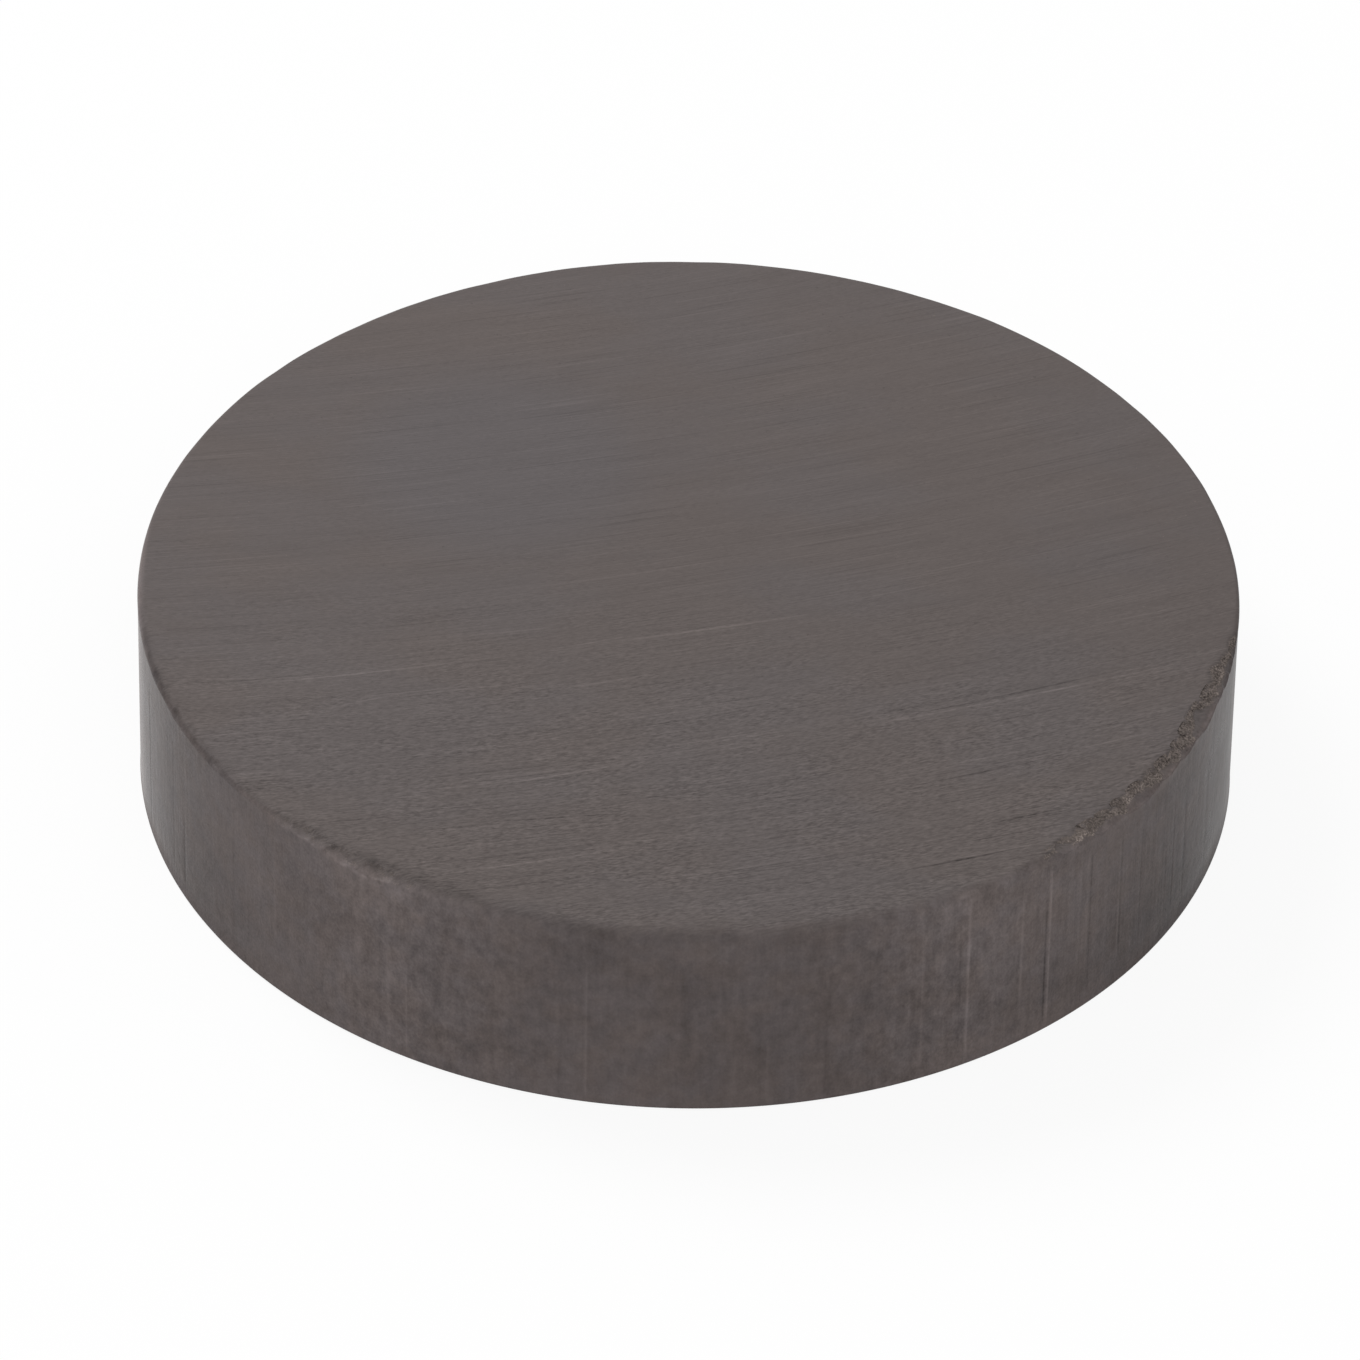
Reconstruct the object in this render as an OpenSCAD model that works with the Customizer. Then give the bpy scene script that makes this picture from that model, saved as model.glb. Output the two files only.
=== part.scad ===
// Disc magnet of sintered hard ferrite.
// One solid: a pressed and fired disc whose two flat faces are ground to thickness.
// The origin is the middle of the lower face, and the disc's axis is +Z.
// Angles are counted anticlockwise from +X, seen from above.

/* [Disc] */
// Diameter across the pressed wall
disc_d = 25; // [10:0.5:40]
// Thickness from one ground face to the other
disc_t = 5; // [2:0.25:20]
// Radius that tumbling leaves on both rims
rim_r = 0.1; // [0.04:0.01:0.2]

/* [Damage on the upper rim] */
// Size of the single chips, against the sizes in the list
chip_scale = 1; // [0.7:0.1:1.5]
// Length of rim that each flake of a crumbled stretch takes
flake_pitch = 0.5; // [0.4:0.01:0.8]
// Length of a flake against its pitch, so that neighbours overlap
flake_overlap = 1.7; // [1.3:0.05:2.2]
// Swing of the flakes' lean to either side, so that their facets catch light differently
lean_swing = 12; // [0:1:20]

/* [Hidden] */

disc_r = disc_d / 2;
ferrite = "#645e5c";
disc_fn = 180;
chip_fn = 36;

// Single chips: [angle, length along the rim, depth in from the sharp corner, lean above level]
single_chips = [
    [-8, 1.1, 0.12, 60],
    [-12, 1.6, 0.15, 65],
    [-16.5, 1.5, 0.18, 65],
    [-21, 2.1, 0.25, 65],
    [-26, 1.7, 0.2, 60],
    [-30, 1.5, 0.17, 60],
    [-35.5, 2.2, 0.26, 52],
    [-40, 1.5, 0.17, 50],
    [-44, 1.6, 0.16, 45],
    [-49, 1.3, 0.14, 45],
    [-59.5, 1.2, 0.13, 40],
    [-77.5, 0.9, 0.15, 40],
    [-115, 1.0, 0.13, 50],
    [-119.5, 1.3, 0.16, 50],
    [-123, 1.5, 0.2, 48],
    [-127, 1.3, 0.19, 45],
    [-131, 1.1, 0.15, 50],
    [-135.5, 1.2, 0.14, 50],
];

// Crumbled stretches: [first angle, last angle, depth of the deepest flake,
// distance in from the corner, lean above level]
crumbled_stretches = [
    [-54, -8, 0.14, 0, 45],
    [-48, -12, 0.09, 0.24, 62],
    [-138, -112, 0.13, 0, 40],
    [-134, -118, 0.08, 0.18, 60],
    [-174, -141, 0.11, 0, 50],
];

// Sizes of successive flakes, repeated along a stretch so that neighbours differ
flake_beat = [1, 0.7, 0.88, 0.64, 0.95, 0.76, 0.83];
// Turn of the swing from one flake to the next, which shares no factor with a full circle
swing_step = 137;

// Half of the disc's section: a rectangle whose two outer corners are rounded
module half_section() {
    square([disc_r - rim_r, disc_t]);
    translate([0, rim_r]) square([disc_r, disc_t - 2 * rim_r]);
    for (z = [rim_r, disc_t - rim_r])
        translate([disc_r - rim_r, z]) circle(r = rim_r, $fn = chip_fn);
}

module blank() {
    rotate_extrude($fn = disc_fn) half_section();
}

// The ball whose surface is a chip's fracture.
// It crosses the corner over the chip's length and reaches its depth halfway along.
module chip(angle, length, depth, lean, inset = 0) {
    ball_r = (length * length / 4 + depth * depth) / (2 * depth);
    rotate([0, 0, angle])
        translate([disc_r - inset, 0, disc_t])
        rotate([0, -lean, 0])
        translate([ball_r - depth, 0, 0])
        sphere(r = ball_r, $fn = chip_fn);
}

// Flakes side by side along the rim, as many as fit between the two angles
module crumbled_stretch(first, last, depth, inset, lean) {
    degrees_per_mm = 360 / (PI * disc_d);
    count = floor((last - first) / (flake_pitch * degrees_per_mm));
    step = (last - first) / count;
    for (i = [0 : count - 1]) {
        beat = flake_beat[i % len(flake_beat)];
        swing = lean_swing * sin(i * swing_step);
        chip(first + (i + beat / 2) * step, flake_pitch * flake_overlap * beat,
            depth * beat, lean + swing, inset);
    }
}

module magnet_disc() {
    color(ferrite)
        difference() {
            blank();
            for (c = single_chips) chip(c[0], c[1] * chip_scale, c[2] * chip_scale, c[3]);
            for (s = crumbled_stretches) crumbled_stretch(s[0], s[1], s[2], s[3], s[4]);
        }
}

magnet_disc();
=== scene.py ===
# %% [markdown]
# # A disc magnet of sintered ferrite
#
# This script gives a plain disc the surface of a real ferrite magnet. Such a magnet is
# iron oxide powder pressed in a die, fired like pottery, and ground flat on its two
# faces. Each step leaves its own marks: the die scores the wall from top to bottom, the
# grinding wheel draws long arcs over the faces, and the brittle rim loses small chips.
# The steps below make the shape first, then one finish for each of those marks, and last
# the floor, the lamps and the camera.

# %% Load the frame
import itertools
import math

import bpy
import numpy as np
from mathutils import Matrix, Vector


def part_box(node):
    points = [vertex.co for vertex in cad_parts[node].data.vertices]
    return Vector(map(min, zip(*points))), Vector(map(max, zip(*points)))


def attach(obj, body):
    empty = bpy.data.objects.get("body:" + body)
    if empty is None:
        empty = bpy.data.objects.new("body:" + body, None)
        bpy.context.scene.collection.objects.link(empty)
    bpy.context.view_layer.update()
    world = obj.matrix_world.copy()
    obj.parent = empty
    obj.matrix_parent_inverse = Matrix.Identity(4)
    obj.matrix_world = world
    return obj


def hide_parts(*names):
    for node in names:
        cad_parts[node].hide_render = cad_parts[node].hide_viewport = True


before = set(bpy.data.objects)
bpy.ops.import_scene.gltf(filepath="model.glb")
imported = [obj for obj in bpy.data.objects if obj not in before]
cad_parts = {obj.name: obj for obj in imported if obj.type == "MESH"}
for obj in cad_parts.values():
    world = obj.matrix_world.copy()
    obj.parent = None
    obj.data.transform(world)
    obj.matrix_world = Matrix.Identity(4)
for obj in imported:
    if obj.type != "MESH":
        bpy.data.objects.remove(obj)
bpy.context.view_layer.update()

# %% [markdown]
# ## Sizes
#
# The disc's radius and thickness come from the frame, so they can't drift apart from the
# solid model. Everything else is written in millimetres, because that is how a magnet is
# measured, and turned into Blender's metres by one factor.

# %% Sizes
MM = 0.001
low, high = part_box("magnet_disc")
RADIUS = (high.x - low.x) / 2 / MM
THICKNESS = (high.z - low.z) / MM
RIM_ROUND = 0.1
MM_PER_DEGREE = math.pi * RADIUS / 180
print(f"disc {2 * RADIUS:.2f} x {THICKNESS:.2f} mm")

# %% [markdown]
# ## Noise
#
# Broken and worn surfaces need numbers that look random, vary smoothly, and come out the
# same on every run. The usual recipe is a lattice: each corner of a cubic grid gets a
# scrambled number, and a point between corners takes a smooth blend of the eight around
# it. The cell's size is then the size of the lumps.

# %% Noise
SCRAMBLE = (73856093, 19349663, 83492791, 49979687)
FOLD = 0x45D9F3B
WORD = 0xFFFFFFFF
HALF_WORD = 16


def lattice(cells, seed):
    """A number from 0 to 1 for each whole-number cell: its three counts and the seed are
    multiplied by large primes, folded together, and scrambled twice."""
    x, y, z = np.moveaxis(cells.astype(np.int64), -1, 0)
    number = seed * SCRAMBLE[3] ^ x * SCRAMBLE[0] ^ y * SCRAMBLE[1] ^ z * SCRAMBLE[2]
    number &= WORD
    for _ in range(2):
        number = ((number ^ (number >> HALF_WORD)) * FOLD) & WORD
    return (number ^ (number >> HALF_WORD)) / WORD


def smooth(t):
    """3 t^2 - 2 t^3, which goes from 0 to 1 without a kink at either end."""
    return t * t * (3 - 2 * t)


def lumps(points, size, seed):
    """Smooth noise from -1 to 1. Inside a cell the eight corner numbers are weighted by
    the smoothed place along each edge."""
    place = points / size
    cell = np.floor(place)
    t = smooth(place - cell)
    height = 0
    for corner in itertools.product((0, 1), repeat=3):
        share = np.prod(np.where(corner, t, 1 - t), axis=-1)
        height = height + share * lattice(cell + np.array(corner), seed)
    return 2 * height - 1


def scatter(count, seed):
    """count numbers from 0 to 1, the same on every run."""
    cells = np.zeros((count, 3))
    cells[:, 0] = np.arange(count)
    return lattice(cells, seed)


sample = lumps(np.random.default_rng(1).uniform(0, 9, (2000, 3)), 1.0, 3)
print(f"noise runs from {sample.min():.2f} to {sample.max():.2f}")

# %% [markdown]
# ## Where the rim is chipped
#
# Ferrite breaks like glass: a knock takes off a shallow shell-shaped flake. The inside of
# such a scar is close to a piece of a sphere, so a chip is described by the ball that
# cuts it: where it sits round the rim, how long it is, how deep it goes in from the sharp
# corner, and how steeply it leans over the face. One side of this disc has taken a long
# row of knocks, another side a short row, and a third only crumbs.
# These chips are the ones that the solid model has.

# %% Chips of the solid model
# angle round the rim, length, depth, lean above level (degrees and mm)
SINGLE_CHIPS = [
    (-8, 1.1, 0.12, 60),
    (-12, 1.6, 0.15, 65),
    (-16.5, 1.5, 0.18, 65),
    (-21, 2.1, 0.25, 65),
    (-26, 1.7, 0.2, 60),
    (-30, 1.5, 0.17, 60),
    (-35.5, 2.2, 0.26, 52),
    (-40, 1.5, 0.17, 50),
    (-44, 1.6, 0.16, 45),
    (-49, 1.3, 0.14, 45),
    (-59.5, 1.2, 0.13, 40),
    (-77.5, 0.9, 0.15, 40),
    (-115, 1, 0.13, 50),
    (-119.5, 1.3, 0.16, 50),
    (-123, 1.5, 0.2, 48),
    (-127, 1.3, 0.19, 45),
    (-131, 1.1, 0.15, 50),
    (-135.5, 1.2, 0.14, 50),
]
# first angle, last angle, depth, inset from the corner, lean
FLAKE_ROWS = [
    (-54, -8, 0.14, 0.0, 45),
    (-48, -12, 0.09, 0.24, 62),
    (-138, -112, 0.13, 0.0, 40),
    (-134, -118, 0.08, 0.18, 60),
    (-174, -141, 0.11, 0.0, 50),
]
# the flakes' spacing in mm, their length in spacings, and the sizes that take turns
FLAKE_PITCH = 0.5
FLAKE_OVERLAP = 1.7
FLAKE_BEAT = (1, 0.7, 0.88, 0.64, 0.95, 0.76, 0.83)
# how far their lean swings, and how far the swing turns from one to the next, in degrees
LEAN_SWING = 12
SWING_STEP = 137


def ball(angle, length, depth, lean, inset=0.0):
    """Centre and radius of a chip's ball. A chord of the chip's length whose bulge is the
    chip's depth gives the radius: (length^2 / 4 + depth^2) / (2 depth). The centre lies
    that radius less the depth away from the corner, outwards and up at the lean."""
    radius = (length * length / 4 + depth * depth) / (2 * depth)
    turn, lean = math.radians(angle), math.radians(lean)
    out = RADIUS - inset + (radius - depth) * math.cos(lean)
    rise = THICKNESS + (radius - depth) * math.sin(lean)
    return np.array([out * math.cos(turn), out * math.sin(turn), rise]), radius


def flakes(first, last, depth, inset, lean):
    """The balls of one row of flakes, spaced evenly, with sizes that follow a beat."""
    count = int((last - first) * MM_PER_DEGREE / FLAKE_PITCH)
    step = (last - first) / count
    made = []
    for i in range(count):
        beat = FLAKE_BEAT[i % len(FLAKE_BEAT)]
        angle = first + (i + beat / 2) * step
        length = FLAKE_PITCH * FLAKE_OVERLAP * beat
        tilt = LEAN_SWING * math.sin(math.radians(i * SWING_STEP))
        made.append(ball(angle, length, depth * beat, lean + tilt, inset))
    return made


chip_balls = [ball(*chip) for chip in SINGLE_CHIPS]
for row in FLAKE_ROWS:
    chip_balls += flakes(*row)
print(f"{len(chip_balls)} chips and flakes")

# %% [markdown]
# ## Bites and crumbs
#
# A smooth ball alone makes too tidy a scar. On the real rim each flake ends in a small
# steep step towards the face and a flatter floor towards the wall. That is the shape of
# a quarter of an egg, so the finer damage is cut with eggs: each has a half length along
# the rim, one outwards and one up and down, and its middle sits close to the sharp
# corner. The larger bites are listed one by one. The crumbs between them are thrown at
# random, thickly where the rim has been knocked and thinly where it is sound.

# %% Bites listed one by one
# angle, half length along the rim, half width outwards, half height, inset of the middle,
# and for some how far the middle lies above the face
BITES = [
    (-131.6, 0.22, 0.07, 0.04, 0.2),
    (-129.4, 0.3, 0.06, 0.05, 0.17),
    (-127.6, 0.26, 0.07, 0.06, 0.15),
    (-126, 0.26, 0.07, 0.05, 0.18),
    (-124.4, 0.24, 0.08, 0.06, 0.15),
    (-122.4, 0.3, 0.07, 0.05, 0.18),
    (-120.4, 0.32, 0.07, 0.06, 0.15),
    (-118.5, 0.24, 0.07, 0.05, 0.13),
    (-116.7, 0.26, 0.06, 0.05, 0.1),
    (-114.6, 0.3, 0.08, 0.05, 0.1),
    (-110.1, 0.09, 0.12, 0.09, -0.02),
    (-103.7, 0.12, 0.12, 0.06, 0.04),
    (-79.2, 0.2, 0.12, 0.12, 0),
    (-76, 0.26, 0.1, 0.09, 0),
    (-60.9, 0.12, 0.12, 0.09, 0.02),
    (-48.6, 0.3, 0.1, 0.05, 0.25, 0.02),
    (-46.4, 0.26, 0.11, 0.05, 0.28, 0.02),
    (-43.4, 0.34, 0.12, 0.03, 0.3),
    (-40.6, 0.3, 0.12, 0.04, 0.28),
    (-38.2, 0.22, 0.12, 0.03, 0.3),
    (-35.2, 0.34, 0.14, 0.04, 0.3),
    (-32.4, 0.24, 0.12, 0.03, 0.31),
    (-29.8, 0.32, 0.13, 0.04, 0.28),
    (-26.4, 0.26, 0.12, 0.03, 0.29),
    (-23.4, 0.34, 0.14, 0.04, 0.33),
    (-20.2, 0.32, 0.13, 0.04, 0.36),
    (-16.8, 0.34, 0.11, 0.03, 0.31),
    (-18.6, 0.36, 0.1, 0.16, 0),
    (-15.9, 0.3, 0.1, 0.22, 0),
    (-13.6, 0.42, 0.12, 0.25, 0),
    (-11, 0.36, 0.12, 0.24, 0),
    (-8.7, 0.34, 0.1, 0.2, 0),
]


def rim_point(angle, inset, level):
    """The point at an angle round the rim, inset from the corner, at a level."""
    turn = math.radians(angle)
    return np.array([(RADIUS - inset) * math.cos(turn), (RADIUS - inset) * math.sin(turn), level])


def egg(angle, along, out, up, inset, rise=0.0):
    """A bite's middle, its angle and its three half lengths."""
    return rim_point(angle, inset, THICKNESS + rise), angle, (along, out, up)


bites = [egg(*bite) for bite in BITES]
print(f"{len(bites)} bites")

# %% [markdown]
# ## Crumbs
#
# Between the bites the rim has lost hundreds of single grains. Nobody would place those
# by hand, so a few numbers for each stretch of rim say how many there are and how large.

# %% Crumbs
# angle round the rim and how far in from the corner the damage reaches there (mm)
REACH = [
    (-180, 0.04), (-160, 0.05), (-142, 0.07), (-134, 0.12), (-131, 0.22), (-127, 0.2),
    (-122, 0.2), (-117, 0.14), (-110, 0.1), (-80, 0.06), (-62, 0.07), (-57, 0.15),
    (-53, 0.23), (-50, 0.32), (-46, 0.42), (-43, 0.44), (-40, 0.37), (-37, 0.38),
    (-34, 0.42), (-30, 0.38), (-26, 0.37), (-23, 0.44), (-20, 0.48), (-17, 0.4),
    (-12, 0.28), (-6, 0.12), (0, 0.04), (180, 0.04),
]
# first angle, last angle, crumbs per mm of rim, greatest half length
CRUMB_STRETCHES = [
    (-47, -6, 15, 0.13),
    (-139, -111, 9, 0.11),
    (-176, -139, 12, 0.06),
    (-111, -58, 2.5, 0.09),
    (-6, 184, 0.8, 0.11),
    (-55, -47, 8, 0.065),
]


def read(table, angle, column=1):
    """A column of a table at any angle, taken in proportion between its two nearest rows."""
    return np.interp(angle, [row[0] for row in table], [row[column] for row in table])


def crumbs(first, last, density, size, seed):
    """Eggs at scattered angles. A crumb's half length runs from 0.35 to 1 times the
    greatest one, its half width is 0.6 to 1 of that, and its half height a sixth to two
    fifths. Its middle lies anywhere between the corner and the local reach of the damage,
    and up to two fifths of the half height above the face."""
    count = int((last - first) * MM_PER_DEGREE * density)
    place, long, wide, tall, where, lift = (scatter(count, seed + k) for k in range(6))
    turns = first + (last - first) * place
    along = size * (0.35 + 0.65 * long**2)
    out = along * (0.6 + 0.4 * wide)
    up = along * (0.16 + 0.24 * tall)
    inset = np.maximum(read(REACH, turns) - out, 0) * where
    return [egg(*row) for row in zip(turns, along, out, up, inset, 0.4 * lift * up)]


for number, stretch in enumerate(CRUMB_STRETCHES):
    bites += crumbs(*stretch, seed=20 + 10 * number)
print(f"{len(bites)} bites and crumbs")

# %% [markdown]
# ## The blank as a grid
#
# The disc is a surface of two parameters: the angle round it, and the way along its
# section from the middle of the upper face, out over the rim, down the wall and back to
# the middle of the lower face. Columns and rows don't have to be even. They are packed
# within a few hundredths of a millimetre where the chips are, and left wide apart where
# the disc is plain, so the whole piece stays light.

# %% Columns and rows
FINE_STEP = 0.16
PLAIN_STEP = 0.75
DAMAGED = (-177.0, -5.0)
fine = np.arange(*DAMAGED, FINE_STEP)
plain = np.arange(DAMAGED[1], DAMAGED[0] + 360, PLAIN_STEP)
angles = np.radians(np.concatenate([fine, plain]))
degrees = (np.degrees(angles) + 180) % 360 - 180

# rows on the face, by their way in from where the rim begins to round, on the wall, by
# their way down from there, and on the lower face (mm)
CLOSE = 0.03
face_in = np.concatenate([[8.0, 4.0, 2.2, 1.3, 0.85], np.arange(20, -1, -1) * CLOSE])
wall_down = [*np.arange(12) * CLOSE, 0.42, 0.6, 0.8, *np.arange(1.05, THICKNESS - 0.5, 0.25)]
lower_in = (0.0, 1.5, 6.0)
# the rows of a rounded rim, by their shares of its radius inwards and up or down
corner = [(1 - math.sin(turn), 1 - math.cos(turn)) for turn in np.radians([15, 30, 45, 60, 75])]
print(f"{len(angles)} columns")

# %% [markdown]
# ## The worn blank
#
# Tumbling leaves every rim very slightly round. Fingers and steel then wear the upper rim
# further, and most at the front of this disc. The rim is a quarter circle whose radius
# changes with the angle, which no lathe tool gives but a grid does without effort.

# %% The worn blank
# angle and how many times the sharp rim's radius the rim is worn to
WORN = [
    (0, 1), (170, 1.2), (184, 2), (205, 2.2), (222, 1.8), (232, 1.8), (246, 2.8), (256, 3.8),
    (288, 3.8), (300, 2.6), (312, 1.3), (360, 1),
]


def around_axis(reach, height):
    """The point of each column at a distance from the axis and a height."""
    places = (reach * np.cos(angles), reach * np.sin(angles), height)
    return np.stack(np.broadcast_arrays(*places), axis=-1)


def worn_radius():
    """The upper rim's radius in each column. Handling wears the rim unevenly, so two sizes
    of lumps make it swell and shrink."""
    ring = around_axis(RADIUS, 0.0)
    uneven = 1 + 0.20 * lumps(ring, 2.5, 5) + 0.16 * lumps(ring, 0.6, 6)
    return read(WORN, np.degrees(angles) % 360) * RIM_ROUND * uneven


def blank_rows(worn):
    """Distance from the axis and height of every row, as one array a row. The faces end
    and the wall begins one rim radius in from the corner, joined by a quarter circle."""
    rows = [(RADIUS - worn - inner, THICKNESS) for inner in face_in]
    rows += [(RADIUS - worn * inner, THICKNESS - worn * down) for inner, down in corner]
    rows += [(RADIUS, THICKNESS - worn - down) for down in wall_down]
    rows += [(RADIUS, RIM_ROUND)]
    rows += [(RADIUS - RIM_ROUND * inner, RIM_ROUND * up) for inner, up in corner[::-2]]
    rows += [(RADIUS - RIM_ROUND - inner, 0.0) for inner in lower_in]
    rows = [np.broadcast_arrays(reach, height, worn)[:2] for reach, height in rows]
    return np.array(rows).swapaxes(0, 1)


worn = worn_radius()
reach, height = blank_rows(worn)
blank = around_axis(reach, height)
print(f"grid of {blank.shape[0]} rows by {blank.shape[1]} columns")

# %% [markdown]
# ## Scoring on the wall
#
# When the pressed disc is pushed out of its die, hard grains drag along its side. They
# leave straight marks from top to bottom: mostly grooves a few thousandths of a
# millimetre deep, some with a bright burr. The strongest ones are listed one by one, each
# by its angle, width and the heights that it runs between. A mark's cross-section is a
# bell curve, and its two ends fade out.

# %% Score marks
# angle, half width, depth (negative is a raised burr), lowest and highest point, lightness
SCORES = [
    (-165.5, 0.06, 0.006, 0.3, 4.4, -0.9),
    (-156.8, 0.04, 0.004, 0.3, 4.2, -0.4),
    (-153.9, 0.05, 0.006, 0, 2.6, -0.55),
    (-143.4, 0.05, 0.004, 0.4, 3.8, -0.3),
    (-136.5, 0.06, -0.003, 0.5, 4.2, 0.2),
    (-124.8, 0.08, -0.003, 0.6, 4, 0.3),
    (-121.2, 0.06, -0.006, 0.2, 4, 0.7),
    (-122.2, 0.04, 0.004, 0.6, 3.6, -0.35),
    (-119.1, 0.022, -0.004, 0, 2.8, 0.7),
    (-114.7, 0.06, -0.003, 0, 3.6, 0.3),
    (-112.9, 0.04, -0.003, 0.4, 3.2, 0.25),
    (-109.4, 0.05, 0.003, 0, 3.4, -0.3),
    (-102.3, 0.06, 0.003, 0, 3.6, -0.25),
    (-99.6, 0.026, -0.004, 0, 4, 0.65),
    (-95.5, 0.07, -0.003, 0.5, 3.4, 0.22),
    (-89.4, 0.12, 0.003, 0.8, 4.2, -0.28),
    (-86, 0.07, -0.003, 0.4, 3.6, 0.22),
    (-81.9, 0.09, 0.003, 0, 3, -0.32),
    (-81.1, 0.03, -0.003, 0, 2, 0.45),
    (-75.1, 0.03, 0.004, 0, 2.6, -0.45),
    (-66.3, 0.05, -0.003, 0.6, 3.8, 0.35),
    (-64.8, 0.035, -0.004, 0.1, 3.9, 0.75),
    (-62.7, 0.14, -0.003, 0.3, 3.8, 0.3),
    (-60.5, 0.04, 0.004, 0.2, 3.8, -0.5),
    (-59.6, 0.036, -0.01, 0, 4.8, 1.45),
    (-56.4, 0.13, -0.003, 0.8, 4, 0.35),
    (-53, 0.035, -0.004, 0.6, 4.3, 0.8),
    (-49.85, 0.02, 0.01, 0.2, 3.6, -1.7),
    (-49.35, 0.032, -0.006, 0.3, 4.7, 1.4),
    (-45.3, 0.04, -0.003, 0.8, 4.2, 0.35),
    (-44.1, 0.022, -0.004, 0.8, 4.5, 0.7),
    (-43.6, 0.024, 0.005, 0.6, 4.5, -1.2),
    (-39.1, 0.024, -0.004, 1, 4.4, 0.5),
    (-38.7, 0.024, 0.006, 0.8, 4.4, -1.15),
    (-35.2, 0.026, 0.005, 0.6, 4.2, -0.55),
    (-30.3, 0.04, 0.004, 0.8, 4, -0.35),
    (-28.7, 0.03, 0.004, 0.6, 3.8, -0.22),
    (-26, 0.05, 0.004, 0.4, 3.6, -0.45),
    (-19.8, 0.05, 0.003, 0.4, 3.6, -0.3),
]
END_FADE = 0.35


def way_from(angle):
    """The way along the rim from an angle to each column, the shorter way round, in mm."""
    return np.angle(np.exp(1j * (angles - math.radians(angle)))) * RADIUS


def score_marks(height):
    """Two arrays on the grid: how far the wall is pressed in, and how light the mark is.
    Across a mark both follow exp(-(distance / half width)^2). Along it they rise from
    zero to full over END_FADE at either end. Its tone comes and goes along the way."""
    unbroken = 0.9 + 0.35 * lumps(around_axis(RADIUS, height), 0.45, 51)
    pressed, light = np.zeros_like(height), np.zeros_like(height)
    for angle, half_width, depth, bottom, top, tone in SCORES:
        bell = np.exp(-((way_from(angle) / half_width) ** 2))
        from_bottom = np.clip((height - bottom) / END_FADE, 0, 1)
        from_top = np.clip((top - height) / END_FADE, 0, 1)
        pressed += depth * bell * from_bottom * from_top
        light += tone * bell * from_bottom * from_top * unbroken
    return pressed, light


pressed, score_light = score_marks(height)
print(f"score marks reach {1000 * pressed.max():.0f} micrometres deep")

# %% [markdown]
# ## Carving
#
# A Boolean cut would remove the balls and the eggs too, but it is slow and leaves long thin
# triangles. Instead, every point that lies inside one is pushed straight away from its
# middle until it rests on its surface, which is exactly where the fracture is. If that
# surface also wavers from point to point, the scar gets a rough floor and a ragged
# outline. Their middles lie close to the corner or beyond it, so a point only ever moves
# into the disc. The wall is drawn in by a hundredth of a millimetre to begin with, which
# leaves its raised burrs room within the disc's own size.

# %% Carve the chips
# height, size and seed of three kinds of lumps (mm)
ROUGH = ((0.022, 0.42, 31), (0.013, 0.16, 32), (0.014, 0.08, 33))
# how far the wall is drawn in, how far it waves, and how far down the carving goes
WALL_SLACK = 0.012
WALL_WAVE = 0.0025
CARVED_DEPTH = 1.2
MICROMETRE = 0.001


def roughness_at(points):
    """The sum of three sizes of lumps, each with its own height."""
    return sum(tall * lumps(points, size, seed) for tall, size, seed in ROUGH)


def push_out(points, middle, distance, surface):
    """Moves each point that is nearer to the middle than the surface straight out to it."""
    stretch = np.where(distance < surface, surface / distance, 1.0)
    return middle + (points - middle) * stretch[..., None]


def carve_balls(points, balls):
    """Moves the points that lie inside a ball out to its surface, one ball after another."""
    waver = roughness_at(points)
    for middle, radius in balls:
        distance = np.linalg.norm(points - middle, axis=-1)
        points = push_out(points, middle, distance, radius + waver)
    return points


def egg_distance(points, middle, angle, sizes):
    """Distance from an egg's middle, measured along the rim, outwards and upwards, and
    divided by the three half lengths, so that the egg is a ball of radius 1."""
    away = points - middle
    cosine, sine = math.cos(math.radians(angle)), math.sin(math.radians(angle))
    beside = (away[..., 1] * cosine - away[..., 0] * sine) / sizes[0]
    outward = (away[..., 0] * cosine + away[..., 1] * sine) / sizes[1]
    return np.sqrt(beside**2 + outward**2 + (away[..., 2] / sizes[2]) ** 2)


def carve_eggs(points, eggs):
    """The same for eggs."""
    waver = roughness_at(points)
    for middle, angle, sizes in eggs:
        distance = egg_distance(points, middle, angle, sizes)
        points = push_out(points, middle, distance, 1 + waver / max(sizes[1:]))
    return points


uneven = lumps(blank * (1, 1, 0.05), 0.9, 41) + 0.6 * lumps(blank * (1, 1, 0.1), 0.3, 42)
sink = np.maximum(WALL_SLACK + pressed + WALL_WAVE * uneven, 0.0)
on_wall = np.isclose(reach, RADIUS)
skin = around_axis(reach - np.where(on_wall, sink, 0.0), height)
carved = skin.copy()
near_rim = (height > THICKNESS - CARVED_DEPTH).any(axis=1)
carved[near_rim] = carve_eggs(carve_balls(skin[near_rim], chip_balls), bites)
moved = np.linalg.norm(carved - skin, axis=-1)
share_moved = (moved > MICROMETRE).mean()
print(f"deepest chip {moved.max():.2f} mm, {100 * share_moved:.0f}% of the points moved")

# %% [markdown]
# ## Fresh and old breaks
#
# How far a point has moved says how broken the surface is there, and the finish needs that
# number. A fresh scar shows bare grains from edge to edge. In an old one, dirt and
# rubbing have closed the grain, first of all low down where fingers reach it.

# %% How broken each point is
# angle and how fresh the break is there: 1 shows bare grains, less shows a dirty old scar
FRESH = [
    (-180, 0.35), (-140, 0.32), (-134, 0.35), (-112, 0.35), (-104, 0.45), (-64, 0.5),
    (-58, 0.45), (-52, 0.5), (-48, 0.9), (-8, 1), (0, 0.7), (180, 0.45),
]
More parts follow.
